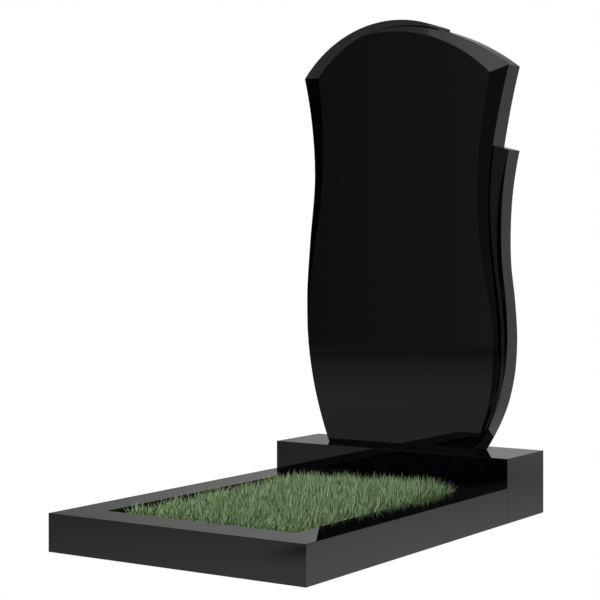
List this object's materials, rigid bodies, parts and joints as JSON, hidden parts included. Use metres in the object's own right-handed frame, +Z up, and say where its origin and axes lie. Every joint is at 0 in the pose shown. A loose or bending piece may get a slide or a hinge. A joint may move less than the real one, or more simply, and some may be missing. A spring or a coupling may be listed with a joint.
{
  "type": "granite grave monument",
  "caption": "Upright granite monument: a sculpted slab with curved sides, a stepped rim and a side wing on a base block, behind a kerbed grass bed.",
  "frame": {"origin": "on the ground, under the middle of the whole footprint", "axes": "+Z up, -Y towards the front, where the face of the slab looks over the bed, +X to the right seen from the front"},
  "size_m": [0.65, 1.044, 1.2073],
  "materials": {
    "stele": "polished black granite",
    "base_block": "polished black granite",
    "kerb": "polished black granite",
    "turf": "matte, short grass on soil"
  },
  "bodies": {
    "root": {"stele": "stele", "base_block": "base_block", "kerb_frame": "kerb", "turf": "turf"}
  },
  "joints": []
}
